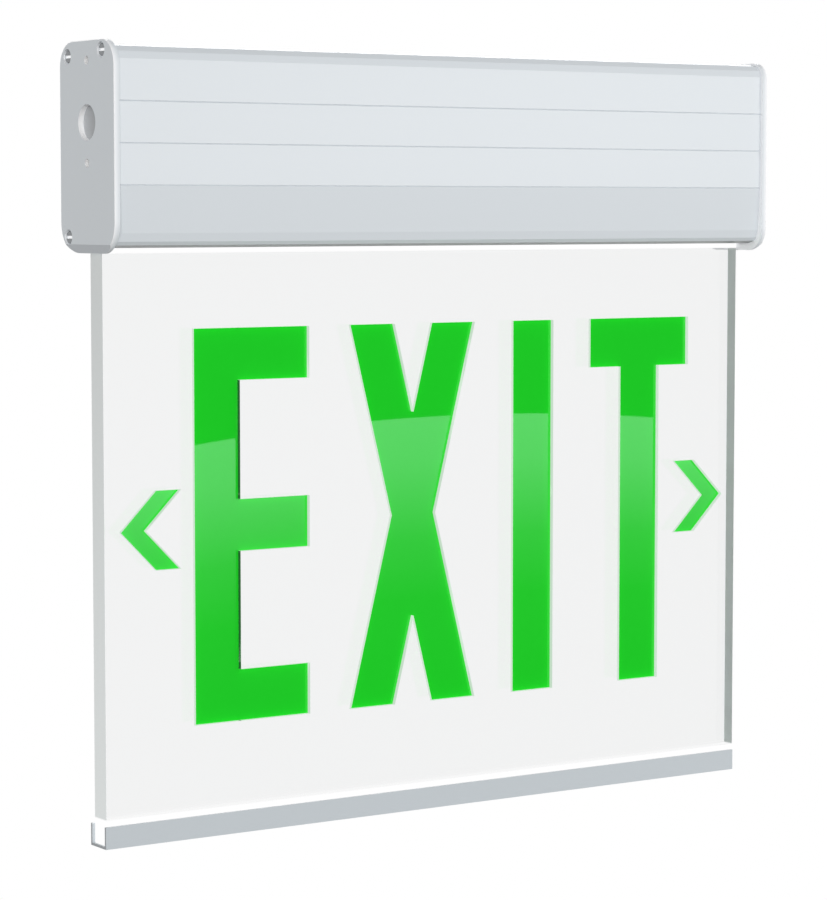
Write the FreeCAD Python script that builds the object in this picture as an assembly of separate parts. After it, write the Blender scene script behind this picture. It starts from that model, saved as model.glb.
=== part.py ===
import FreeCAD, Part
import math
import os

# Edge-lit emergency exit light: an extruded aluminium housing closed by two end caps, a clear
# acrylic panel that hangs through a slot in its underside, and the lamps, charger and battery
# that light it. Millimetres, +Z up, front towards -Y. The origin is the centre of the ceiling
# entry, on the outer face of the housing's top.

Vector = FreeCAD.Vector

# ---------------------------------------------------------------------------
# Housing extrusion
# ---------------------------------------------------------------------------
housing_length = 306.6
housing_depth = 40.2
housing_height = 75.1
wall = 1.6
corner_radius = 5.4          # the upper corners are broken by flats laid on this radius
corner_flats = 3
foot_flat_heights = (3.15, 1.35, 1.0)   # the flats that break each lower corner, from its top
skirt_drop = 51.85           # from the top down to where each face starts to lean inward
skirt_lean = 1.45            # how far the foot of each face leans in
groove_count = 3             # fine V grooves along each face, the lowest at the skirt
groove_pitch = 15.5
groove_width = 0.5
groove_depth = 0.3
slot_clearance = 0.6         # each side of the panel, in the underside slot

# Three screw ports run the full length: two under the top and one above the rear lip
port_bore = 1.4
port_wall = 1.5
port_gap = 1.6               # the open side of each port
front_port_from_middle = 11.4
front_port_drop = 2.0
rear_port_from_middle = 15.3
rear_port_drop = 3.7
foot_port_from_middle = 15.4
foot_port_rise = 3.85        # above the underside

# Guide ribs that the electronics tray slides in
tray_above_bar = 7.0         # from the lamp bar's top to the tray's underside
tray_thickness = 1.2
tray_clearance = 0.2
guide_reach = 2.4
guide_thickness = 1.0

# ---------------------------------------------------------------------------
# End caps
# ---------------------------------------------------------------------------
cap_thickness = 2.3
cap_side_overhang = 1.3      # how far the flanges stand out from the housing's faces
left_cap_top_overhang = 1.8
left_cap_foot_overhang = 2.1
left_cap_top_radius = 9.5
left_cap_foot_radius = 11.5
right_cap_top_overhang = 0.6
right_cap_foot_overhang = 3.0
right_cap_top_radius = 7.0
right_cap_foot_radius = 9.0
cap_bevel = 0.2
cap_foot_bevel_height = 3.3
cap_foot_bevel_depth = 1.6
spigot_length = 6.0
spigot_wall = 1.4
spigot_clearance = 0.3
spigot_above_bar = 2.6       # the spigot stops above the lamp bar

# ---------------------------------------------------------------------------
# Canopy entries: a wire hole with a screw hole to each side of it
# ---------------------------------------------------------------------------
entry_radius = 6.75
entry_screw_radius = 1.65
entry_screw_spacing = 38.1
end_entry_z = -28.55
end_screws_z = -24.55
knockout_depth = 2.3
knockout_web = 0.8
knockout_collar = 2.2
back_entry_z = -24.0

# ---------------------------------------------------------------------------
# Cap screws
# ---------------------------------------------------------------------------
screw_head_radius = 2.4
screw_head_height = 1.5
screw_slot_width = 1.1
screw_slot_depth = 0.7
screw_reach = 14.0
counterbore_depth = 1.2      # the left cap's heads sit almost flush, the right cap's on its face
counterbore_clearance = 0.5
thread_clearance = 0.05
screw_hole_clearance = 0.4

# ---------------------------------------------------------------------------
# Legend panel and its trim
# ---------------------------------------------------------------------------
panel_end_clearance = 0.75   # from each end of the panel to the flange beside it
panel_thickness = 9.525
panel_y = -0.84              # the panel hangs just in front of the housing's middle
panel_visible_height = 218.3
panel_insert = 17.7          # how far it reaches up past the housing's underside
panel_edge_break = 0.25
trim_end_overhang = 0.05     # the trim is this much longer than the panel at each end
trim_shift = -0.9            # and sits this much towards the left
trim_height = 8.5
trim_wall = 1.0
trim_clearance = 0.24

# ---------------------------------------------------------------------------
# Legend: block letters six inches high, and two chevrons
# ---------------------------------------------------------------------------
letter_height = 152.4
letter_stroke = 20.2
letter_width = 51.6
letter_x_width = 59.6
word_left_margin = 38.975    # from the left end of the panel to the word's first letter
word_right_margin = 25.975   # and from its last letter to the right end
legend_raise = 2.05          # the legend sits above the middle of the visible panel
chevron_margin = 7.05        # from each chevron's tip to the end of the panel
chevron_half_height = 15.2
chevron_stroke = 10.8
pocket_depth = 2.2
fill_thickness = 0.4
fill_gap = 0.05

# ---------------------------------------------------------------------------
# Lamp bar
# ---------------------------------------------------------------------------
bar_end_clearance = 5.3      # from each end of the bar to the end of the housing
bar_wall = 1.2
bar_foot = 3.5
bar_clearance = 0.3
led_board_width = 8.0
led_board_thickness = 1.6
led_length = 3.5
led_width = 2.8
led_height = 1.5
led_pitch = 12.0
led_to_panel = 0.5
clamp_count = 2
clamp_from_bar_end = 18.0
clamp_below_panel_top = 9.0
clamp_radius = 1.5
clamp_head_radius = 2.75
clamp_head_height = 1.8
clamp_nut_radius = 3.1
clamp_nut_height = 2.4
clamp_hole_clearance = 0.2

# ---------------------------------------------------------------------------
# Electronics on the tray
# ---------------------------------------------------------------------------
tray_end_clearance = 9.3     # from each end of the tray to the end of the housing
tray_lip = 8.0
core_length = 41.0
core_height = 34.0
core_stack = 16.0
core_limb = 7.0
coil_depth = 27.0
coil_gap = 0.4
transformer_x = -100.0
board_length = 112.0
board_width = 33.0
board_thickness = 1.6
board_x = -12.0
standoff_height = 5.0
standoff_radius = 2.4
standoff_inset = 4.0
relay_size = (19.0, 15.0, 15.0)
capacitor_radius = 5.0
capacitor_height = 16.0
capacitor_count = 2
capacitor_pitch = 13.0
terminal_size = (24.0, 9.0, 10.0)
terminal_ways = 3
cell_radius = 7.25
cell_length = 50.0
battery_x = 88.0
battery_wrap = 0.3
strap_width = 12.0
strap_thickness = 0.8
strap_tab = 6.0

# ---------------------------------------------------------------------------
# Test button and pilot lamp, in the right-hand end cap
# ---------------------------------------------------------------------------
button_z = -18.0
button_radius = 3.0
button_projection = 2.4
button_break = 0.5
button_travel = 1.5
button_collar_radius = 3.8
button_collar_thickness = 1.0
button_stem_radius = 1.4
button_stem_length = 4.5
button_clearance = 0.3
switch_half_width = 5.6
switch_length = 9.0
lamp_z = -34.0
lamp_radius = 2.5
lamp_rim_radius = 3.0
lamp_rim_thickness = 1.0
lamp_projection = 1.0
lamp_bevel = 0.8
lamp_body_length = 6.0
lamp_clearance = 0.1

# ---------------------------------------------------------------------------
# Places that several pieces share
# ---------------------------------------------------------------------------
half_length = housing_length / 2
half_depth = housing_depth / 2
inner_half_depth = half_depth - wall
underside = -housing_height
lip_top = underside + wall
cap_face = half_length + cap_thickness
panel_width = housing_length - 2 * panel_end_clearance
panel_front = panel_y - panel_thickness / 2
panel_back = panel_y + panel_thickness / 2
panel_top = underside + panel_insert
trim_top = underside - panel_visible_height
trim_foot = trim_top - trim_height
panel_foot = trim_foot + trim_wall
legend_z = underside - panel_visible_height / 2 + legend_raise
word_left = word_left_margin - panel_width / 2
letter_gap = (panel_width - word_left_margin - word_right_margin
              - 2 * letter_width - letter_x_width - letter_stroke) / 3
chevron_tip = panel_width / 2 - chevron_margin
bar_length = housing_length - 2 * bar_end_clearance
bar_inner = panel_thickness / 2 + bar_clearance
bar_ceiling = panel_top + led_to_panel + led_height + led_board_thickness
bar_top = bar_ceiling + bar_wall
led_count = int(bar_length / led_pitch)
tray_length = housing_length - 2 * tray_end_clearance
tray_bottom = bar_top + tray_above_bar
tray_top = tray_bottom + tray_thickness
port_outer = port_bore + port_wall
ports = [
    (-front_port_from_middle, -front_port_drop),
    (rear_port_from_middle, -rear_port_drop),
    (foot_port_from_middle, underside + foot_port_rise),
]


# ---------------------------------------------------------------------------
# Building blocks
# ---------------------------------------------------------------------------
def block(x, y, z):
    """A box from three (low, high) pairs."""
    low = Vector(x[0], y[0], z[0])
    return Part.makeBox(x[1] - x[0], y[1] - y[0], z[1] - z[0], low)


def rod(radius, start, direction, length):
    return Part.makeCylinder(radius, length, Vector(*start), Vector(*direction))


def face_along_x(outline, x=0.0):
    """A flat face across the X axis from (y, z) points."""
    points = [Vector(x, y, z) for y, z in outline]
    return Part.Face(Part.makePolygon(points + points[:1]))


def prism_along_x(outline, x_range):
    return face_along_x(outline, x_range[0]).extrude(Vector(x_range[1] - x_range[0], 0, 0))


def prism_along_y(outline, y_range):
    """A prism from (x, z) points, between two values of y."""
    points = [Vector(x, y_range[0], z) for x, z in outline]
    face = Part.Face(Part.makePolygon(points + points[:1]))
    return face.extrude(Vector(0, y_range[1] - y_range[0], 0))


def mirrored(shape):
    """The same shape at the other end of the sign."""
    return shape.mirror(Vector(0, 0, 0), Vector(1, 0, 0))


def export(name, shape):
    shape.exportStep("parts/" + name + ".step")


# ---------------------------------------------------------------------------
# Housing
# ---------------------------------------------------------------------------
def corner_points(centre, start_angle):
    """A quarter turn about centre, broken into equal flats."""
    points = []
    for step in range(corner_flats + 1):
        angle = math.radians(start_angle + 90.0 * step / corner_flats)
        points.append((centre[0] + corner_radius * math.cos(angle),
                       centre[1] + corner_radius * math.sin(angle)))
    return points


def foot_points():
    """The front lower corner, from the skirt down to the underside, as three flats."""
    y = skirt_lean - half_depth
    z = underside + sum(foot_flat_heights)
    points = [(y, z)]
    for step, height in enumerate(foot_flat_heights):
        tilt = math.radians(90.0 * (step + 0.5) / len(foot_flat_heights))
        y += height * math.tan(tilt)
        z -= height
        points.append((y, z))
    return points


def housing_outline():
    """The outside of the section: two flat faces that lean inward below the last groove."""
    top_centre = (corner_radius - half_depth, -corner_radius)
    front = corner_points(top_centre, 90)
    front.append((-half_depth, -skirt_drop))
    front += foot_points()
    rear = [(-y, z) for y, z in reversed(front)]
    return front + rear


def housing_core(inset, x_range):
    """The housing's outline drawn in by inset, as a solid between two values of x."""
    face = face_along_x(housing_outline(), x_range[0])
    inner = face.makeOffset2D(-inset, 2)
    return inner.extrude(Vector(x_range[1] - x_range[0], 0, 0))


def port_rims(x_range):
    """The walls of the screw ports, before they are bored and opened."""
    rims = [rod(port_outer, (x_range[0], y, z), (1, 0, 0), x_range[1] - x_range[0])
            for y, z in ports]
    envelope = prism_along_x(housing_outline(), x_range)
    return [rim.common(envelope) for rim in rims]


def port_openings(x_range):
    """The bore of each port, and the gap in its wall that faces the middle of the housing."""
    cuts = []
    for y, z in ports:
        cuts.append(rod(port_bore, (x_range[0], y, z), (1, 0, 0), x_range[1] - x_range[0]))
        inward = -1 if z > underside / 2 else 1
        gap = block(x_range, (y - port_gap / 2, y + port_gap / 2),
                    sorted((z, z + inward * (port_outer + 0.1))))
        cuts.append(gap)
    return cuts


def tray_guides(x_range):
    """Two ribs on each inner wall, with the tray's edge between them."""
    ribs = []
    upper = tray_top + tray_clearance
    lower = tray_bottom - tray_clearance
    for side in (-1, 1):
        y = sorted((side * (inner_half_depth + wall / 2), side * (inner_half_depth - guide_reach)))
        ribs.append(block(x_range, y, (upper, upper + guide_thickness)))
        ribs.append(block(x_range, y, (lower - guide_thickness, lower)))
    return ribs


def groove_cuts(x_range):
    """The V grooves along the front and rear faces."""
    cuts = []
    for number in range(groove_count):
        z = -skirt_drop + number * groove_pitch
        for side in (-1, 1):
            outline = [(side * (half_depth + groove_depth), z + groove_width),
                       (side * (half_depth - groove_depth), z),
                       (side * (half_depth + groove_depth), z - groove_width)]
            cuts.append(prism_along_x(outline, x_range))
    return cuts


def canopy_cuts(start, direction, row, depth):
    """A wire hole and its two screw holes, cut along direction from start."""
    cuts = [rod(entry_radius, start, direction, depth)]
    for side in (-0.5, 0.5):
        shift = side * entry_screw_spacing
        centre = [start[i] + shift * row[i] for i in range(3)]
        cuts.append(rod(entry_screw_radius, centre, direction, depth))
    return cuts


def housing_extrusion():
    ends = (-half_length, half_length)
    tube = prism_along_x(housing_outline(), ends).cut(housing_core(wall, ends))
    section = tube.multiFuse(port_rims(ends) + tray_guides(ends))
    slot = (panel_front - slot_clearance, panel_back + slot_clearance)
    cuts = [block(ends, slot, (underside - wall, lip_top + wall / 2))]
    cuts += port_openings(ends) + groove_cuts(ends)
    reach = wall * 2
    cuts += canopy_cuts((0, 0, wall / 2), (0, 0, -1), (1, 0, 0), reach)
    cuts += canopy_cuts((0, half_depth + wall / 2, back_entry_z), (0, -1, 0), (1, 0, 0), reach)
    return section.cut(cuts).removeSplitter()


# ---------------------------------------------------------------------------
# End caps
# ---------------------------------------------------------------------------
def quarter_arc(x, centre, radius, start):
    """A quarter turn across the X axis, about centre, from the angle start."""
    points = []
    for eighth in range(3):
        turn = math.radians(start + 45 * eighth)
        points.append(Vector(x, centre[0] + radius * math.cos(turn),
                             centre[1] + radius * math.sin(turn)))
    return Part.Arc(*points).toShape()


def cap_flange(top, foot, top_radius, foot_radius):
    """The left flange's plate, from the height foot to top, with larger corners at its foot."""
    side = half_depth + cap_side_overhang
    top_centre = (side - top_radius, top - top_radius)
    foot_centre = (side - foot_radius, foot + foot_radius)
    corners = [
        quarter_arc(-cap_face, top_centre, top_radius, 0),
        quarter_arc(-cap_face, (-top_centre[0], top_centre[1]), top_radius, 90),
        quarter_arc(-cap_face, (-foot_centre[0], foot_centre[1]), foot_radius, 180),
        quarter_arc(-cap_face, foot_centre, foot_radius, 270),
    ]
    edges = []
    for corner, following in zip(corners, corners[1:] + corners[:1]):
        edges.append(corner)
        edges.append(Part.LineSegment(corner.lastVertex().Point,
                                      following.firstVertex().Point).toShape())
    return Part.Face(Part.Wire(edges)).extrude(Vector(cap_thickness, 0, 0))


def bevelled_flange(top, foot, top_radius, foot_radius):
    """The flange with a narrow bevel round its outer face, and a taller one along its foot."""
    plate = cap_flange(top, foot, top_radius, foot_radius)
    outer = [edge for edge in plate.Edges if abs(edge.BoundBox.XMax + cap_face) < 1e-6]
    plate = plate.makeChamfer(cap_bevel, outer)
    side = half_depth + cap_side_overhang
    wedge = [(-cap_face - wall, foot + cap_foot_bevel_height * (1 + wall / cap_foot_bevel_depth)),
             (-cap_face + cap_foot_bevel_depth, foot),
             (-cap_face - wall, foot)]
    return plate.cut(prism_along_y(wedge, (-side, side)))


def cap_spigot():
    """The wall behind the left flange that plugs into the housing, clear of all it meets."""
    x_range = (-half_length, -half_length + spigot_length)
    outer = housing_core(wall + spigot_clearance, x_range)
    inner = housing_core(wall + spigot_clearance + spigot_wall, x_range)
    spigot = outer.cut(inner)
    spigot_foot = bar_top + spigot_above_bar
    cuts = [block(x_range, (-half_depth, half_depth), (underside, spigot_foot))]
    for y, z in ports:
        cuts.append(rod(port_outer + spigot_clearance, (x_range[0], y, z), (1, 0, 0),
                        spigot_length))
    guide = guide_thickness + tray_clearance + spigot_clearance
    cuts.append(block(x_range, (-half_depth, half_depth), (tray_bottom - guide, tray_top + guide)))
    return spigot.cut(cuts)


def cap_blank(flange):
    """A left-hand end cap from its flange and spigot, with nothing but its screw holes cut."""
    cap = flange.fuse(cap_spigot())
    holes = [rod(port_bore + screw_hole_clearance, (-cap_face - 1, y, z), (1, 0, 0),
                 cap_thickness + 2) for y, z in ports]
    return cap.cut(holes)


def end_cap_left():
    """The cap with the end-mounting knockout: a blind recess closed by a thin web."""
    collar = rod(entry_radius + knockout_collar, (-half_length - 0.1, 0, end_entry_z), (1, 0, 0),
                 knockout_depth + knockout_web - cap_thickness + 0.1)
    flange = bevelled_flange(left_cap_top_overhang, underside - left_cap_foot_overhang,
                             left_cap_top_radius, left_cap_foot_radius)
    cap = cap_blank(flange).fuse(collar)
    recess = rod(entry_radius, (-cap_face - 1, 0, end_entry_z), (1, 0, 0), knockout_depth + 1)
    cuts = [recess]
    for y, z in ports:
        cuts.append(rod(screw_head_radius + counterbore_clearance, (-cap_face - 1, y, z),
                        (1, 0, 0), counterbore_depth + 1))
    for side in (-0.5, 0.5):
        z = end_screws_z + side * entry_screw_spacing
        cuts.append(rod(entry_screw_radius, (-cap_face - 1, 0, z), (1, 0, 0),
                        cap_thickness + spigot_length + 1))
    return cap.cut(cuts).removeSplitter()


def end_cap_right():
    """The cap that carries the test button and the pilot lamp."""
    flange = bevelled_flange(right_cap_top_overhang, underside - right_cap_foot_overhang,
                             right_cap_top_radius, right_cap_foot_radius)
    cap = mirrored(cap_blank(flange))
    start = half_length - 1
    reach = cap_thickness + 2
    button_hole = rod(button_radius + button_clearance, (start, 0, button_z), (1, 0, 0), reach)
    lamp_hole = rod(lamp_radius + lamp_clearance, (start, 0, lamp_z), (1, 0, 0), reach)
    return cap.cut([button_hole, lamp_hole]).removeSplitter()


def cap_screw(seat, y, z):
    """A slotted screw whose head stands on the left cap at the depth seat, its slot level."""
    under_head = seat - cap_face
    top = under_head - screw_head_height
    head = rod(screw_head_radius, (top, y, z), (1, 0, 0), screw_head_height)
    slot = block((top - 1, top + screw_slot_depth),
                 (y - screw_head_radius, y + screw_head_radius),
                 (z - screw_slot_width / 2, z + screw_slot_width / 2))
    shank = rod(port_bore - thread_clearance, (under_head, y, z), (1, 0, 0), screw_reach)
    return head.cut(slot).fuse(shank).removeSplitter()


def cap_screws(seat):
    return Part.Compound([cap_screw(seat, y, z) for y, z in ports])


# ---------------------------------------------------------------------------
# Legend
# ---------------------------------------------------------------------------
def letter_e_outline(left):
    high = letter_height / 2
    arm = letter_stroke / 2
    stem = left + letter_stroke
    right = left + letter_width
    return [(left, high), (right, high), (right, high - letter_stroke),
            (stem, high - letter_stroke), (stem, arm), (right, arm), (right, -arm), (stem, -arm),
            (stem, letter_stroke - high), (right, letter_stroke - high), (right, -high),
            (left, -high)]


def letter_x_outline(left):
    """Two straight strokes of full width, crossing at the middle."""
    high = letter_height / 2
    half = letter_x_width / 2
    # The stroke's level width and its slope fix each other, so they are found by iteration
    level = letter_stroke
    for _ in range(20):
        slope = (2 * half - level) / letter_height
        level = letter_stroke * math.sqrt(1 + slope ** 2)
    waist = level / 2
    crotch = high - (half - level) / slope
    middle = left + half
    right_half = [(half - level, high), (half, high), (waist, 0), (half, -high),
                  (half - level, -high), (0, -crotch)]
    left_half = [(-x, z) for x, z in reversed(right_half[:-1])]
    return [(middle + x, z) for x, z in [(0, crotch)] + right_half + left_half]


def letter_i_outline(left):
    high = letter_height / 2
    right = left + letter_stroke
    return [(left, high), (right, high), (right, -high), (left, -high)]


def letter_t_outline(left):
    high = letter_height / 2
    right = left + letter_width
    stem = (left + right) / 2
    half = letter_stroke / 2
    return [(left, high), (right, high), (right, high - letter_stroke),
            (stem + half, high - letter_stroke), (stem + half, -high), (stem - half, -high),
            (stem - half, high - letter_stroke), (left, high - letter_stroke)]


def chevron_outline(side):
    """A chevron with 45 degree arms and level ends, pointing away from the word."""
    high = chevron_half_height
    points = [(chevron_tip, 0), (chevron_tip - high, high),
              (chevron_tip - high - chevron_stroke, high), (chevron_tip - chevron_stroke, 0),
              (chevron_tip - high - chevron_stroke, -high), (chevron_tip - high, -high)]
    return [(side * x, z) for x, z in points]


def legend_outlines():
    """Every figure of the legend as (x, z) points in the housing's frame."""
    left = word_left
    figures = {}
    figures["letter_e"] = letter_e_outline(left)
    left += letter_width + letter_gap
    figures["letter_x"] = letter_x_outline(left)
    left += letter_x_width + letter_gap
    figures["letter_i"] = letter_i_outline(left)
    left += letter_stroke + letter_gap
    figures["letter_t"] = letter_t_outline(left)
    figures["chevron_left"] = chevron_outline(-1)
    figures["chevron_right"] = chevron_outline(1)
    return {name: [(x, z + legend_z) for x, z in outline]
            for name, outline in figures.items()}


def legend_fill(outline):
    """The coloured fill on the floor of one pocket."""
    floor = panel_front + pocket_depth - fill_gap
    fill = prism_along_y(outline, (floor - fill_thickness, floor))
    section = fill.slice(Vector(0, 1, 0), floor)[0]
    inset = Part.Face(section).makeOffset2D(-fill_gap, 2)
    inset.translate(Vector(0, floor - fill_thickness - inset.BoundBox.YMin, 0))
    return inset.extrude(Vector(0, fill_thickness, 0))


def clamp_places():
    """The x of each screw that holds the panel in the lamp bar."""
    first = clamp_from_bar_end - bar_length / 2
    pitch = -2 * first / (clamp_count - 1)
    return [first + number * pitch for number in range(clamp_count)]


def clamp_z():
    return panel_top - clamp_below_panel_top


def legend_panel(outlines):
    x_range = (-panel_width / 2, panel_width / 2)
    panel = block(x_range, (panel_front, panel_back), (panel_foot, panel_top))
    upright = [edge for edge in panel.Edges if edge.BoundBox.ZLength > panel_visible_height]
    panel = panel.makeChamfer(panel_edge_break, upright)
    cuts = [prism_along_y(outline, (panel_front - 1, panel_front + pocket_depth))
            for outline in outlines.values()]
    for x in clamp_places():
        cuts.append(rod(clamp_radius + clamp_hole_clearance, (x, panel_front - 1, clamp_z()),
                        (0, 1, 0), panel_thickness + 2))
    return panel.cut(cuts)


def bottom_trim():
    """The U channel on the panel's lower edge, open at both ends."""
    reach = panel_width / 2 + trim_end_overhang
    x_range = (trim_shift - reach, trim_shift + reach)
    inner = panel_thickness / 2 + trim_clearance
    outer = inner + trim_wall
    channel = block(x_range, (panel_y - outer, panel_y + outer), (trim_foot, trim_top))
    groove = block(x_range, (panel_y - inner, panel_y + inner), (panel_foot, trim_top))
    return channel.cut(groove)


# ---------------------------------------------------------------------------
# Lamp bar
# ---------------------------------------------------------------------------
def lamp_bar():
    """A hat section that straddles the panel and stands on the lips beside the slot."""
    x_range = (-bar_length / 2, bar_length / 2)
    outer = bar_inner + bar_wall
    half_hat = [(outer + bar_foot, lip_top), (outer + bar_foot, lip_top + bar_wall),
                (outer, lip_top + bar_wall), (outer, bar_ceiling + bar_wall)]
    outside = half_hat + [(-y, z) for y, z in reversed(half_hat)]
    half_inside = [(bar_inner, bar_ceiling), (bar_inner, lip_top)]
    inside = [(-y, z) for y, z in reversed(half_inside)] + half_inside
    outline = [(panel_y + y, z) for y, z in outside + inside]
    holes = [rod(clamp_radius + clamp_hole_clearance, (x, panel_y - outer - 1, clamp_z()),
                 (0, 1, 0), 2 * outer + 2) for x in clamp_places()]
    return prism_along_x(outline, x_range).cut(holes)


def led_board():
    x_range = (-bar_length / 2, bar_length / 2)
    half = led_board_width / 2
    return block(x_range, (panel_y - half, panel_y + half),
                 (bar_ceiling - led_board_thickness, bar_ceiling))


def leds():
    lamps = []
    top = bar_ceiling - led_board_thickness
    for number in range(led_count):
        x = (number - (led_count - 1) / 2) * led_pitch
        lamps.append(block((x - led_length / 2, x + led_length / 2),
                           (panel_y - led_width / 2, panel_y + led_width / 2),
                           (top - led_height, top)))
    return Part.Compound(lamps)


def panel_screws():
    """The screws that pass through the lamp bar and the panel."""
    outer = bar_inner + bar_wall
    screws = []
    for x in clamp_places():
        head = rod(clamp_head_radius, (x, panel_y - outer - clamp_head_height, clamp_z()),
                   (0, 1, 0), clamp_head_height)
        shank = rod(clamp_radius, (x, panel_y - outer, clamp_z()), (0, 1, 0),
                    2 * outer + clamp_nut_height)
        screws.append(head.fuse(shank))
    return Part.Compound(screws)


def panel_nuts():
    outer = bar_inner + bar_wall
    nuts = []
    for x in clamp_places():
        corners = []
        for step in range(6):
            angle = math.radians(60 * step)
            corners.append((x + clamp_nut_radius * math.cos(angle),
                            clamp_z() + clamp_nut_radius * math.sin(angle)))
        nut = prism_along_y(corners, (panel_y + outer, panel_y + outer + clamp_nut_height))
        bore = rod(clamp_radius, (x, panel_y + outer - 1, clamp_z()), (0, 1, 0),
                   clamp_nut_height + 2)
        nuts.append(nut.cut(bore))
    return Part.Compound(nuts)


# ---------------------------------------------------------------------------
# Electronics
# ---------------------------------------------------------------------------
def electronics_tray():
    """A sheet that slides in the guide ribs, with a lip turned up at each end."""
    half = inner_half_depth - tray_clearance
    x_range = (-tray_length / 2, tray_length / 2)
    sheet = block(x_range, (-half, half), (tray_bottom, tray_top))
    clear = half - guide_reach
    lips = [block(sorted((side * tray_length / 2, side * (tray_length / 2 - tray_thickness))),
                  (-clear, clear), (tray_top, tray_top + tray_lip)) for side in (-1, 1)]
    return sheet.multiFuse(lips).removeSplitter()


def transformer_core():
    """The stack of E and I plates, standing on the tray."""
    x_range = (transformer_x - core_length / 2, transformer_x + core_length / 2)
    half = core_stack / 2
    stack = block(x_range, (-half, half), (tray_top, tray_top + core_height))
    cuts = []
    for side in (-1, 1):
        near = transformer_x + side * core_limb / 2
        far = transformer_x + side * (core_length / 2 - core_limb / 2)
        cuts.append(block(sorted((near, far)), (-half, half),
                          (tray_top + core_limb / 2, tray_top + core_height - core_limb / 2)))
    return stack.cut(cuts)


def transformer_coil():
    """The wound bobbin round the middle limb."""
    half = core_length / 2 - core_limb / 2 - coil_gap
    low = tray_top + core_limb / 2 + coil_gap
    high = tray_top + core_height - core_limb / 2 - coil_gap
    coil = block((transformer_x - half, transformer_x + half), (-coil_depth / 2, coil_depth / 2),
                 (low, high))
    coil = coil.makeFillet(core_limb / 2, [edge for edge in coil.Edges
                                           if edge.BoundBox.ZLength > core_height / 2])
    limb = core_limb / 2 + coil_gap
    core = core_stack / 2 + coil_gap
    return coil.cut(block((transformer_x - limb, transformer_x + limb), (-core, core),
                          (low, high)))


def standoff_places():
    x = board_length / 2 - standoff_inset
    y = board_width / 2 - standoff_inset
    return [(board_x + side * x, end * y) for side in (-1, 1) for end in (-1, 1)]


def board_standoffs():
    """Four hexagon pillars between the tray and the control board."""
    pillars = []
    for x, y in standoff_places():
        corners = [Vector(x + standoff_radius * math.cos(math.radians(60 * step)),
                          y + standoff_radius * math.sin(math.radians(60 * step)), tray_top)
                   for step in range(6)]
        section = Part.Face(Part.makePolygon(corners + corners[:1]))
        pillars.append(section.extrude(Vector(0, 0, standoff_height)))
    return Part.Compound(pillars)


def on_board(x, y, size):
    """A box-shaped component that stands on the control board at (x, y)."""
    low = tray_top + standoff_height + board_thickness
    return block((board_x + x - size[0] / 2, board_x + x + size[0] / 2),
                 (y - size[1] / 2, y + size[1] / 2), (low, low + size[2]))


def control_board():
    low = tray_top + standoff_height
    return block((board_x - board_length / 2, board_x + board_length / 2),
                 (-board_width / 2, board_width / 2), (low, low + board_thickness))


def relay():
    return on_board(board_length / 2 - relay_size[0], 0, relay_size)


def capacitors():
    low = tray_top + standoff_height + board_thickness
    middle = (capacitor_count - 1) / 2
    return Part.Compound([rod(capacitor_radius,
                              (board_x + (number - middle) * capacitor_pitch, 0, low),
                              (0, 0, 1), capacitor_height) for number in range(capacitor_count)])


def terminal_block():
    """The block for the supply's leads, with one open way for each."""
    x = -board_length / 2 + terminal_size[0] * 0.75
    body = on_board(x, 0, terminal_size)
    pitch = terminal_size[0] / terminal_ways
    cuts = []
    for way in range(terminal_ways):
        centre = x + (way - (terminal_ways - 1) / 2) * pitch
        mouth = on_board(centre, -terminal_size[1] / 2, (pitch / 2, terminal_size[1] / 2,
                                                         terminal_size[2]))
        mouth.translate(Vector(0, 0, terminal_size[2] / 2))
        cuts.append(mouth)
    return body.cut(cuts)


def battery_section():
    """Four cells in a square under one wrap, as a rounded outline with its half width."""
    half = 2 * cell_radius + battery_wrap
    return half, cell_radius + battery_wrap


def battery_pack():
    half, radius = battery_section()
    pack = block((battery_x - cell_length / 2, battery_x + cell_length / 2), (-half, half),
                 (tray_top, tray_top + 2 * half))
    long_edges = [edge for edge in pack.Edges if edge.BoundBox.XLength > cell_length / 2]
    return pack.makeFillet(radius, long_edges)


def battery_strap():
    """A band over the battery that ends in a tab on the tray at each side."""
    half, radius = battery_section()
    x_range = (battery_x - strap_width / 2, battery_x + strap_width / 2)
    outer = half + strap_thickness
    hood = block(x_range, (-outer, outer), (tray_top, tray_top + 2 * half + strap_thickness))
    top = tray_top + 2 * half
    rounded = [edge for edge in hood.Edges
               if edge.BoundBox.XLength > strap_width / 2 and edge.BoundBox.ZMin > top]
    hood = hood.makeFillet(radius + strap_thickness, rounded)
    hollow = block(x_range, (-half, half), (tray_top, top))
    upper = [edge for edge in hollow.Edges
             if edge.BoundBox.XLength > strap_width / 2 and edge.BoundBox.ZMin > top - 1]
    hollow = hollow.makeFillet(radius, upper)
    return hood.cut(hollow)


# ---------------------------------------------------------------------------
# Test button and pilot lamp
# ---------------------------------------------------------------------------
def switch_seat():
    """The inner end of the space that the button's collar travels in."""
    return half_length - button_clearance * 2 - button_collar_thickness - button_travel


def test_switch():
    """The switch body on the cap's inner face, with a cup for the collar and a bore beyond."""
    start = switch_seat() - switch_length
    body = block((start, half_length), (-switch_half_width, switch_half_width),
                 (button_z - switch_half_width, button_z + switch_half_width))
    cup = rod(button_collar_radius + button_clearance, (switch_seat(), 0, button_z), (1, 0, 0),
              half_length - switch_seat())
    depth = button_stem_length + button_clearance
    bore = rod(button_stem_radius + button_clearance, (switch_seat() - depth, 0, button_z),
               (1, 0, 0), depth)
    return body.cut([cup, bore])


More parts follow.
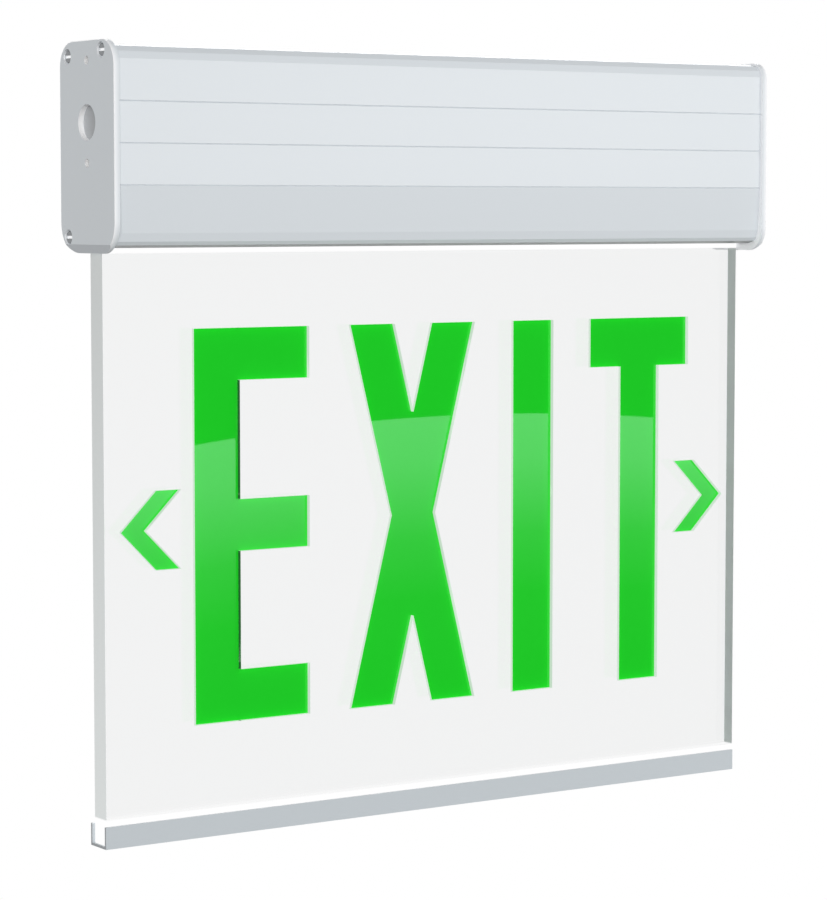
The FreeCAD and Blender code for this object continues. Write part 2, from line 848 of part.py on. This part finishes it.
def test_button():
    """The push button: a cap, a collar that keeps it in, and a stem into the switch."""
    collar_face = half_length - button_clearance
    collar = rod(button_collar_radius, (collar_face - button_collar_thickness, 0, button_z),
                 (1, 0, 0), button_collar_thickness)
    cap = rod(button_radius, (collar_face, 0, button_z), (1, 0, 0),
              cap_face + button_projection - collar_face)
    rim = [edge for edge in cap.Edges if edge.BoundBox.XMin > cap_face + button_projection / 2]
    cap = cap.makeChamfer(button_break, rim)
    stem_length = button_stem_length - button_travel
    stem_start = collar_face - button_collar_thickness - stem_length
    stem = rod(button_stem_radius, (stem_start, 0, button_z), (1, 0, 0), stem_length)
    return collar.multiFuse([cap, stem]).removeSplitter()


def pilot_lamp():
    """A round lamp with a bevelled lens, its rim on the cap's inner face."""
    rim = rod(lamp_rim_radius, (half_length - lamp_rim_thickness, 0, lamp_z), (1, 0, 0),
              lamp_rim_thickness)
    tip = cap_face + lamp_projection
    body = rod(lamp_radius, (half_length - lamp_body_length, 0, lamp_z), (1, 0, 0),
               tip - half_length + lamp_body_length)
    lens = [edge for edge in body.Edges if edge.BoundBox.XMin > cap_face]
    return rim.fuse(body.makeChamfer(lamp_bevel, lens)).removeSplitter()


# ---------------------------------------------------------------------------
# Everything, one file a node
# ---------------------------------------------------------------------------
os.makedirs("parts", exist_ok=True)

figures = legend_outlines()

export("housing_extrusion", housing_extrusion())
export("end_cap_left", end_cap_left())
export("end_cap_right", end_cap_right())
export("end_cap_screws_left", cap_screws(counterbore_depth))
export("end_cap_screws_right", mirrored(cap_screws(0)))

export("legend_panel", legend_panel(figures))
for figure_name, figure_outline in figures.items():
    export(figure_name, legend_fill(figure_outline))
export("bottom_trim", bottom_trim())

export("lamp_bar", lamp_bar())
export("led_board", led_board())
export("leds", leds())
export("panel_screws", panel_screws())
export("panel_nuts", panel_nuts())

export("electronics_tray", electronics_tray())
export("transformer_core", transformer_core())
export("transformer_coil", transformer_coil())
export("board_standoffs", board_standoffs())
export("control_board", control_board())
export("relay", relay())
export("capacitors", capacitors())
export("terminal_block", terminal_block())
export("battery_pack", battery_pack())
export("battery_strap", battery_strap())

export("test_switch", test_switch())
export("test_button", test_button())
export("pilot_lamp", pilot_lamp())
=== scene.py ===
import bpy
from math import radians
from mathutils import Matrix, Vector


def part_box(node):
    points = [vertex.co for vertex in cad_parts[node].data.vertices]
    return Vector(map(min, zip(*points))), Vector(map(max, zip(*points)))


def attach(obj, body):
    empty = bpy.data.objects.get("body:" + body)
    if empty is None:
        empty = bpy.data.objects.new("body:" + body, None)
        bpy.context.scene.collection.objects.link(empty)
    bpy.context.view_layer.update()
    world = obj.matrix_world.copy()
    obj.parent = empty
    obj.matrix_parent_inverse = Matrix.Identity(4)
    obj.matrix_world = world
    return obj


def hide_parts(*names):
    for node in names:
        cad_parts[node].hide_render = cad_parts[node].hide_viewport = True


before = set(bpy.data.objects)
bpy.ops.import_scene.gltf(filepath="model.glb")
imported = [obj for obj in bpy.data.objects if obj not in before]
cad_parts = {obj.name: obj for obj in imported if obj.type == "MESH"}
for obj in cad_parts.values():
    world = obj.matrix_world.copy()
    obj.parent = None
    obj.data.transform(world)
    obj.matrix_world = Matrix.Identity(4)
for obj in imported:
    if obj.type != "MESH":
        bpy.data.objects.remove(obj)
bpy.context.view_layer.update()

# ---------------------------------------------------------------------------------------------
# Housing: one aluminium extrusion with a satin silver-white paint. Its section is straight
# along X, so the paint shows the long flats, the V grooves and, close up, a fine powder texture.
# ---------------------------------------------------------------------------------------------


class Shade:
    """A value in a material: arithmetic on it adds Math nodes, node() adds any other node."""

    def __init__(self, tree, socket=None):
        self.tree = tree
        self.socket = socket

    def node(self, kind, settings, inputs, output=0):
        made = self.tree.nodes.new("ShaderNode" + kind)
        for name, value in settings.items():
            if name == "stops":
                ramp = made.color_ramp.elements
                while len(ramp) < len(value):
                    ramp.new(0.5)
                for stop, (place, level) in zip(ramp, value):
                    stop.position = place
                    stop.color = (level, level, level, 1)
            else:
                setattr(made, name, value)
        for name, value in inputs.items():
            if isinstance(value, Shade):
                self.tree.links.new(value.socket, made.inputs[name])
            else:
                made.inputs[name].default_value = value
        return Shade(self.tree, made.outputs[output])

    def math(self, operation, first, second):
        return self.node("Math", {"operation": operation}, {0: first, 1: second})

    def __add__(self, other):
        return self.math("ADD", self, other)

    __radd__ = __add__

    def __sub__(self, other):
        return self.math("SUBTRACT", self, other)

    def __rsub__(self, other):
        return self.math("SUBTRACT", other, self)

    def __mul__(self, other):
        return self.math("MULTIPLY", self, other)

    __rmul__ = __mul__

    def __gt__(self, other):
        return self.math("GREATER_THAN", self, other)

    def __lt__(self, other):
        return self.math("LESS_THAN", self, other)

    def size(self):
        return self.node("Math", {"operation": "ABSOLUTE"}, {0: self})

    def noise(self, scale, detail=3.0):
        """Noise at scale, in cells a metre, read at this place."""
        return self.node("TexNoise", {}, {"Vector": self, "Scale": scale, "Detail": detail})

    def stretched(self, x, y, z):
        return self.node("Mapping", {}, {"Vector": self, "Scale": (x, y, z)})

    def part(self, axis):
        return self.node("SeparateXYZ", {}, {"Vector": self}, axis)

    def facing(self, axis):
        """How far the surface looks along the axis, from -1 to 1."""
        return self.node("TexCoord", {}, {}, "Normal").part(axis)

    def rise(self, start, end):
        """0 where this value is at start, up to 1 where it is at end."""
        return self.node("MapRange", {}, {0: self, 1: start, 2: end})

    def blend(self, first, second):
        """A colour that goes from first to second with this value."""
        return self.node("Mix", {"data_type": "RGBA"}, {0: self, 6: first, 7: second}, 2)

    def cover(self, below, above):
        """A surface that goes from below to above with this value."""
        return self.node("MixShader", {}, {0: self, 1: below, 2: above})


def new_material(name):
    """An empty material, and the place of a point on the object that wears it."""
    material = bpy.data.materials.new(name)
    material.use_nodes = True
    material.node_tree.nodes.clear()
    place = Shade(material.node_tree).node("TexCoord", {}, {}, "Object")
    return material, place


def close_material(material, surface):
    output = material.node_tree.nodes.new("ShaderNodeOutputMaterial")
    material.node_tree.links.new(surface.socket, output.inputs["Surface"])
    return material


def coat(piece, material):
    """The piece wears the material on all of its faces."""
    piece.data.materials.clear()
    piece.data.materials.append(material)


def satin_paint(name, colour, roughness, grain_depth, paint_light_and_shade):
    """A satin coat with a fine grain and a faint drift of tone. Its last argument paints local
    light and shade into the colour.
    """
    drift_scale, grain_scale = 9, 2600
    drift_low = 0.985
    grain_gloss = 0.08
    material, place = new_material(name)
    drift = place.noise(drift_scale)
    grain = place.noise(grain_scale, 2.0)
    darker = tuple(drift_low * level for level in colour[:3]) + (1,)
    surface = place.node("BsdfPrincipled", {}, {
        "Base Color": paint_light_and_shade(place, drift.blend(darker, colour)),
        "Roughness": grain * grain_gloss + (roughness - grain_gloss / 2),
        "Normal": grain.node("Bump", {}, {
            "Strength": 1.0, "Distance": grain_depth, "Height": grain}),
        "IOR": 1.5,
    })
    return close_material(material, surface)


def housing_painted_shade(place, paint):
    """Painted shade: the faces that look straight down are darker than the rest."""
    below = place.facing(2) < -0.9
    return below.blend(paint, (0.30, 0.32, 0.33, 1))


housing_paint = satin_paint(
    "housing_paint", (0.70, 0.742, 0.775, 1), 0.31, 0.000003, housing_painted_shade)
coat(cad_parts["housing_extrusion"], housing_paint)

# ---------------------------------------------------------------------------------------------
# End caps: two die castings in the same paint, with a bevel round the flange and a taller one
# along its foot. Each plugs into the housing and is held by three screws.
# ---------------------------------------------------------------------------------------------
cap_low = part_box("end_cap_left")[0]
knockout_middle = -0.02855
knockout_radius = 0.00675
knockout_reach = 1.02 * knockout_radius
knockout_web = (0.0022, 0.0024)     # the web's face lies between these depths
hole_middle = 0.004                 # the drilled pair's middle, over the knockout's
hole_spacing = 0.0381
hole_reach = 0.0018
hole_depth = 0.004
face_skin = 0.0001
side_fade = 540                     # per metre, so the pale side ends 1.85 mm from the face


def cap_painted_light_and_shade(place, paint):
    """Painted light and shade: paler bevel, side, rebate and holes, a white knockout wall, and a
    darker foot bevel and knockout web.
    """
    pale = (0.97, 0.98, 1, 1)
    white = (1, 1, 1, 1)
    # across is 1 on the flange's face and 0 on its side, and the bevels lie between
    across = place.facing(0).size()
    depth = place.part(0) - cap_low.x
    from_face = place.part(0).size() * -1 - cap_low.x
    aside = place.part(1)
    up = place.part(2) - knockout_middle
    bevel = (across > 0.5) * (across < 0.8)
    side = (across < 0.5) * (1 - from_face * side_fade)
    rebate = (place.facing(0) < -0.5) * (place.part(0) > 0)
    foot_bevel = (across > 0.8) * (place.facing(2) < -0.3)
    from_hole = (up - hole_middle).size() - hole_spacing / 2
    hole = (aside * aside + from_hole * from_hole) < hole_reach ** 2
    hole = hole * (depth > face_skin) * (depth < hole_depth)
    knockout = (aside * aside + up * up) < knockout_reach ** 2
    wall = knockout * (depth > face_skin) * (depth < knockout_web[0])
    web = knockout * (depth > knockout_web[0]) * (depth < knockout_web[1])
    lit_across = aside.rise(-knockout_radius, knockout_radius)
    # Painted light: the bevel, side, rebate, holes and knockout wall are made paler where light
    # falls
    tone = bevel.blend(paint, (0.98, 0.99, 1, 1))
    tone = side.blend(tone, pale)
    tone = rebate.blend(tone, pale)
    tone = hole.blend(tone, white)
    tone = wall.blend(tone, white)
    # Painted shade: the foot bevel is darker, and the knockout web is darkest at its front
    tone = foot_bevel.blend(tone, (0.58, 0.61, 0.64, 1))
    return web.blend(tone, lit_across.blend((0.30, 0.31, 0.32, 1), (0.56, 0.58, 0.60, 1)))


cap_paint = satin_paint("cap_paint", (0.745, 0.785, 0.815, 1), 0.42, 0.000006, cap_painted_light_and_shade)
coat(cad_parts["end_cap_left"], cap_paint)
coat(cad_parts["end_cap_right"], cap_paint)

# ---------------------------------------------------------------------------------------------
# Cap screws: zinc-plated steel, three to a cap, turned with a low domed head and a level slot.
# The left cap's heads sit down in its counterbores, and the right cap's stand on its face.
# ---------------------------------------------------------------------------------------------
head_radius = 0.0024
head_crown = 0.0005
head_facets = 40
slot_width = 0.0011
slot_depth = 0.0005
shank_radius = 0.00135
shank_length = 0.014
sunk_head = 0.00095
proud_head = 0.0015
counterbore = 0.0012
rear_screw = (0.0153, -0.0037)
screws_low, screws_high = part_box("end_cap_screws_left")
screw_places = (
    (screws_low.y + head_radius, screws_high.z - head_radius),
    rear_screw,
    (screws_high.y - head_radius, screws_low.z + head_radius),
)


def metal(name, colour, roughness, scratch, grain=(60, 60, 60)):
    """Bare or plated metal with fine scratches that run along the lowest value of grain."""
    material, place = new_material(name)
    marks = place.stretched(*grain).noise(40, 4.0)
    surface = place.node("BsdfPrincipled", {}, {
        "Base Color": colour,
        "Metallic": 1.0,
        "Roughness": marks * scratch + (roughness - scratch / 2),
    })
    return close_material(material, surface)


dull_zinc = metal("dull_zinc", (0.25, 0.26, 0.27, 1), 0.42, 0.1, (500, 500, 500))
# The near-white zinc is a painted highlight on the slot's floor
cut_zinc = metal("cut_zinc", (0.97, 0.98, 0.99, 1), 0.3, 0.05, (500, 50, 500))


def pick_faces(piece, wanted):
    """Back in edit mode, only the faces that wanted names are selected."""
    bpy.ops.mesh.select_mode(type="FACE")
    bpy.ops.mesh.select_all(action="DESELECT")
    bpy.ops.object.mode_set(mode="OBJECT")
    for face in piece.data.polygons:
        face.select = wanted(face)
    bpy.ops.object.mode_set(mode="EDIT")


def turned_screw(name, seat, outward, height, y, z):
    """A slotted screw whose head stands on seat and looks along X."""
    top = seat + outward * height
    bpy.ops.object.select_all(action="DESELECT")
    bpy.ops.mesh.primitive_cylinder_add(
        vertices=head_facets, radius=head_radius, depth=height,
        rotation=(0, radians(90), 0), location=(seat + outward * height / 2, y, z))
    screw = bpy.context.object
    screw.name = name
    bpy.ops.object.transform_apply(location=True, rotation=True, scale=True)
    bpy.ops.object.mode_set(mode="EDIT")
    # The outer rim is rounded, and the seat is narrowed and drawn out into the shank
    pick_faces(screw, lambda face: face.normal.x * outward > 0.9)
    bpy.ops.mesh.bevel(offset=head_crown, segments=4, affect="EDGES")
    pick_faces(screw, lambda face: face.normal.x * outward < -0.9)
    bpy.ops.mesh.inset(thickness=head_radius - shank_radius)
    bpy.ops.mesh.extrude_region_move(
        TRANSFORM_OT_translate={"value": (-outward * shank_length, 0, 0)})
    bpy.ops.object.mode_set(mode="OBJECT")
    # The slot is cut level across the head
    bpy.ops.object.select_all(action="DESELECT")
    bpy.ops.mesh.primitive_cube_add(
        size=1, scale=(2 * slot_depth, 3 * head_radius, slot_width), location=(top, y, z))
    cutter = bpy.context.object
    bpy.ops.object.transform_apply(location=True, rotation=True, scale=True)
    bpy.ops.object.select_all(action="DESELECT")
    screw.select_set(True)
    bpy.context.view_layer.objects.active = screw
    slot = screw.modifiers.new("slot", "BOOLEAN")
    slot.operation = "DIFFERENCE"
    slot.solver = "EXACT"
    slot.object = cutter
    bpy.ops.object.modifier_apply(modifier=slot.name)
    bpy.data.objects.remove(cutter)
    bpy.ops.object.shade_smooth_by_angle(angle=radians(30))
    # The slot's floor wears a near-white zinc as a painted highlight, and the rest is dull
    screw.data.materials.clear()
    screw.data.materials.append(dull_zinc)
    screw.data.materials.append(cut_zinc)
    slot_floor = top - outward * slot_depth
    near = 0.00005
    for face in screw.data.polygons:
        flat = face.normal.x * outward > 0.9
        face.material_index = int(flat and abs(face.center.x - slot_floor) < near)
    return screw


for side, seat, outward, height in (
        ("left", cap_low.x + counterbore, -1, sunk_head),
        ("right", -cap_low.x, 1, proud_head)):
    for number, (y, z) in enumerate(screw_places):
        screw = turned_screw(f"cap_screw_{side}_{number + 1}", seat, outward, height, y, z)
        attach(screw, "fixture")
        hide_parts("end_cap_screws_" + side)

# The screws and nuts that clamp the panel to the lamp bar are plain steel
screw_steel = metal("screw_steel", (0.62, 0.63, 0.65, 1), 0.34, 0.12)
coat(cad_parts["panel_screws"], screw_steel)
coat(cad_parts["panel_nuts"], screw_steel)

# ---------------------------------------------------------------------------------------------
# Legend panel: one sheet of clear cast acrylic, polished on its faces and sawn at its two ends,
# with the legend cut into its front face. Lamps above light it from its top edge.
# ---------------------------------------------------------------------------------------------
acrylic_ior = 1.49
panel_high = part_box("legend_panel")[1]
trim_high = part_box("bottom_trim")[1]
housing_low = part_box("housing_extrusion")[0]
clear_length = housing_low.z - trim_high.z
end_skin = 0.0001
stem_width = 0.0202
stem_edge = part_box("letter_e")[0].x + stem_width
edge_reach = 0.0003
wall_glow_share = 0.85
upper_glow = (0.0023, 0.0019)       # below the housing: where the glow starts, and is full
lower_glow = (0.0027, 0.0021)       # above the trim: where the glow starts, and is full

acrylic, place = new_material("clear_acrylic")
along = place.part(0)
height = place.part(2)
clear = place.node("BsdfPrincipled", {}, {
    "Base Color": (0.925, 0.93, 0.93, 1),
    "Roughness": 0.0,
    "IOR": acrylic_ior,
    "Transmission Weight": 1.0,
})

# The sawn ends are frosted; as painted light and shade the left is paler and the right darker,
# and the left's painted glow grows towards its foot
fall = (height * -1 + housing_low.z) * (1 / clear_length)
painted_glow = (along < 0) * (fall * 0.14 + 0.15)
saw_marks = place.stretched(1, 1, 12).noise(500)
left_end = saw_marks.blend((0.56, 0.58, 0.575, 1), (0.64, 0.66, 0.655, 1))
sawn = place.node("BsdfPrincipled", {}, {
    "Base Color": (along > 0).blend(left_end, (0.36, 0.395, 0.385, 1)),
    "Emission Color": painted_glow.blend((0, 0, 0, 1), (0.96, 1, 0.99, 1)),
    "Emission Strength": 1.0,
    "Roughness": 0.6,
    "IOR": acrylic_ior,
})
at_end = along.size() > (panel_high.x - end_skin)

# The walls of the cuts carry a painted light-green glow, and beside the stem of the E a painted
# dark-green shade
cut_wall = (place.facing(1).size() < 0.5) * (1 - at_end)
shade_beside_stem = (along - stem_edge).size() < edge_reach
painted_wall_glow = place.node("Emission", {}, {"Color": (0.72, 0.93, 0.74, 1), "Strength": 0.9})
painted_wall_shade = place.node("Emission", {}, {"Color": (0.02, 0.16, 0.03, 1), "Strength": 0.9})
painted_wall_light = shade_beside_stem.cover(painted_wall_glow, painted_wall_shade)
body = (cut_wall * wall_glow_share).cover(at_end.cover(clear, sawn), painted_wall_light)

# A white glow stands just under the housing and just over the trim
glow = place.node("Emission", {}, {"Color": (1, 1, 1, 1), "Strength": 1.0})
bright = (height.rise(housing_low.z - upper_glow[0], housing_low.z - upper_glow[1])
          + height.rise(trim_high.z + lower_glow[0], trim_high.z + lower_glow[1]))
coat(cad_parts["legend_panel"], close_material(acrylic, bright.cover(body, glow)))

# ---------------------------------------------------------------------------------------------
# Legend: four block letters and two chevrons, each a thin layer of glossy green enamel that
# fills the floor of its cut in the panel.
# ---------------------------------------------------------------------------------------------
legend = ("letter_e", "letter_x", "letter_i", "letter_t", "chevron_left", "chevron_right")
legend_green, place = new_material("legend_green")
enamel = place.node("BsdfPrincipled", {}, {
    "Base Color": place.noise(400).blend((0.0175, 0.79, 0.026, 1), (0.0195, 0.81, 0.029, 1)),
    "Roughness": 0.01,
    "IOR": 1.5,
})
close_material(legend_green, enamel)
for name in legend:
    coat(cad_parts[name], legend_green)

# ---------------------------------------------------------------------------------------------
# Trim: a U-shaped channel of satin anodised aluminium, sawn to the panel's width and pressed
# on its lower edge.
# ---------------------------------------------------------------------------------------------


def trim_painted_shade(place, anodised):
    """Painted shade: the sawn ends of the channel are a darker grey."""
    ends = place.facing(0).size() > 0.5
    return ends.blend(anodised, (0.36, 0.38, 0.40, 1))


trim_metal = satin_paint(
    "trim_aluminium", (0.58, 0.625, 0.655, 1), 0.35, 0.000003, trim_painted_shade)
coat(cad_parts["bottom_trim"], trim_metal)

# ---------------------------------------------------------------------------------------------
# Inside the housing: a folded steel lamp bar and tray, with the supply, board and battery on
# them in moulded plastic. The red test button and its pilot lamp look out of the right cap.
# ---------------------------------------------------------------------------------------------
sheet_steel = metal("sheet_steel", (0.55, 0.56, 0.57, 1), 0.35, 0.15)
for name in ("lamp_bar", "electronics_tray", "transformer_core", "battery_strap"):
    coat(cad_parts[name], sheet_steel)


def moulding(name, colour, roughness):
    """Moulded plastic with a fine spark-eroded texture."""
    grain_scale = 1500
    grain_depth = 0.000005
    grain_gloss = 0.1
    material, place = new_material(name)
    grain = place.noise(grain_scale, 2.0)
    surface = place.node("BsdfPrincipled", {}, {
        "Base Color": colour,
        "Roughness": grain * grain_gloss + (roughness - grain_gloss / 2),
        "Normal": grain.node("Bump", {}, {
            "Strength": 1.0, "Distance": grain_depth, "Height": grain}),
    })
    return close_material(material, surface)


for name, colour, roughness in (
        ("led_board", (0.85, 0.86, 0.85, 1), 0.4),
        ("leds", (0.85, 0.83, 0.45, 1), 0.2),
        ("transformer_coil", (0.80, 0.62, 0.12, 1), 0.4),
        ("board_standoffs", (0.85, 0.84, 0.80, 1), 0.5),
        ("control_board", (0.04, 0.28, 0.12, 1), 0.3),
        ("relay", (0.05, 0.05, 0.06, 1), 0.4),
        ("capacitors", (0.03, 0.04, 0.10, 1), 0.3),
        ("terminal_block", (0.05, 0.25, 0.45, 1), 0.4),
        ("battery_pack", (0.08, 0.20, 0.40, 1), 0.3),
        ("test_switch", (0.06, 0.06, 0.06, 1), 0.4),
        ("test_button", (0.55, 0.02, 0.02, 1), 0.3),
        ("pilot_lamp", (0.60, 0.05, 0.04, 1), 0.15)):
    coat(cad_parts[name], moulding(name, colour, roughness))

# ---------------------------------------------------------------------------------------------
# Studio: a pale floor two metres under the sign, white all round for the eye and for
# reflections, a softer sky for the paint, two suns, a long soft box and a card.
# ---------------------------------------------------------------------------------------------
floor_width = 30
floor_drop = 2.1
sky_strength = 0.72


def straight_to_the_eye(place):
    """1 on rays that the eye sends out, also by a mirror or through the panel, and else 0."""
    eye = place.node("LightPath", {}, {}, "Is Camera Ray")
    glossy = place.node("LightPath", {}, {}, "Is Glossy Ray")
    through = place.node("LightPath", {}, {}, "Is Transmission Ray")
    return place.math("MAXIMUM", eye, place.math("MAXIMUM", glossy, through))


bpy.ops.object.select_all(action="DESELECT")
bpy.ops.mesh.primitive_plane_add(size=floor_width, location=(0, 0, -floor_drop))
floor = bpy.context.object
floor.name = "floor"
floor_white, place = new_material("floor_white")
bare = place.node("BsdfDiffuse", {}, {"Color": (0.8, 0.8, 0.8, 1)})
white = place.node("Emission", {}, {"Color": (1, 1, 1, 1), "Strength": 1.0})
coat(floor, close_material(floor_white, straight_to_the_eye(place).cover(bare, white)))
floor.visible_diffuse = False

# The sky is brightest some way above the horizon, and dark right below and right above
world = bpy.context.scene.world or bpy.data.worlds.new("studio")
bpy.context.scene.world = world
world.use_nodes = True
world.node_tree.nodes.clear()
air = Shade(world.node_tree)
level = air.node("TexCoord", {}, {}, "Generated").part(2) * 0.5 + 0.5
band = level.node("ValToRGB", {"stops": (
    (0, 0), (0.2, 0.4), (0.45, 0.5), (0.7, 1), (0.95, 0))}, {"Fac": level})
sky = air.node("Background", {}, {"Color": (1, 1, 1, 1), "Strength": band * sky_strength})
white = air.node("Background", {}, {"Color": (1, 1, 1, 1), "Strength": 1.0})
output = world.node_tree.nodes.new("ShaderNodeOutputWorld")
world.node_tree.links.new(
    straight_to_the_eye(air).cover(sky, white).socket, output.inputs["Surface"])

# A wide soft key stands to the left of the front, and a second sun behind fills the back.
# Only the metal outside throws shadows, so the clear panel doesn't darken what it covers
outer_metal = ("housing_extrusion", "end_cap_left", "end_cap_right", "bottom_trim")
for name, strength, spread, tilt, turn in (
        ("key", 1.32, 26, 82, -33),
        ("fill", 1.2, 40, 78, 150)):
    lamp = bpy.data.lights.new(name, "SUN")
    lamp.energy = strength
    lamp.angle = radians(spread)
    held = bpy.data.objects.new(name, lamp)
    held.rotation_euler = (radians(tilt), 0, radians(turn))
    held.visible_transmission = False
    bpy.context.scene.collection.objects.link(held)
    blockers = bpy.data.collections.new(name + "_blockers")
    for node in outer_metal:
        blockers.objects.link(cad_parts[node])
    held.light_linking.blocker_collection = blockers


def shine_on(held, names):
    """The lamp or card lights only the named nodes."""
    lit = bpy.data.collections.new(held.name + "_receivers")
    for name in names:
        lit.objects.link(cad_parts[name])
    held.light_linking.receiver_collection = lit


# A long soft box level with the housing gives its paint a broad sheen
strip = bpy.data.lights.new("strip", "AREA")
strip.shape = "RECTANGLE"
strip.size = 1.1
strip.size_y = 0.26
strip.energy = 6.0
strip.diffuse_factor = 0
strip.transmission_factor = 0
soft_box = bpy.data.objects.new("soft_box", strip)
bpy.context.scene.collection.objects.link(soft_box)
soft_box.location = (0.80, -1.42, 0.03)
soft_box.rotation_euler = (radians(90), 0, radians(30))
shine_on(soft_box, outer_metal)

# A dark card with an arched window of light, mirrored in the glossy enamel of the legend
card_width = 1.25
card_height = 0.68
card_place = (1.02, -1.5, -0.44)
arch_middle = 1.04
arch_top = -0.2645
arch_bend = -0.19
window_height = 0.3
bpy.ops.object.select_all(action="DESELECT")
bpy.ops.mesh.primitive_plane_add(size=1, location=(0, 0, 0))
card = bpy.context.object
card.name = "arched_card"
bpy.ops.object.mode_set(mode="EDIT")
bpy.ops.mesh.select_all(action="SELECT")
bpy.ops.transform.rotate(value=radians(90), orient_axis="X", center_override=(0, 0, 0))
bpy.ops.transform.resize(value=(card_width, 1, card_height))
bpy.ops.transform.translate(value=card_place)
bpy.ops.object.mode_set(mode="OBJECT")
card_light, place = new_material("card_light")
aside = place.part(0) - arch_middle
under_arch = aside * aside * arch_bend + arch_top - place.part(2)
window = under_arch.rise(0.0, window_height)
fade = window.node("ValToRGB", {"stops": (
    (0, 0), (0.003, 1), (0.15, 0.85), (0.4, 0.25), (0.6, 0.05), (0.9, 0))}, {"Fac": window})
lit = place.node("Emission", {}, {
    "Color": fade.blend((0, 0, 0, 1), (0.8, 1, 0.97, 1)), "Strength": 2.8})
coat(card, close_material(card_light, lit))
card.visible_camera = False
card.visible_diffuse = False
card.visible_transmission = False
card.visible_shadow = False
shine_on(card, legend)

# ---------------------------------------------------------------------------------------------
# Camera: level with the housing, in front of its left-hand end, with a long lens that looks
# a little down at the middle of the sign.
# ---------------------------------------------------------------------------------------------
lens = bpy.data.cameras.new("camera")
lens.lens = 123.52
lens.sensor_width = 36
lens.sensor_fit = "AUTO"
lens.clip_start = 0.01
lens.clip_end = 100
camera = bpy.data.objects.new("camera", lens)
camera.location = (-0.69597, -1.02770, -0.06049)
camera.rotation_euler = (radians(85.530), 0, radians(-33.745))
bpy.context.scene.collection.objects.link(camera)
bpy.context.scene.camera = camera
bpy.context.scene.view_settings.view_transform = "Standard"
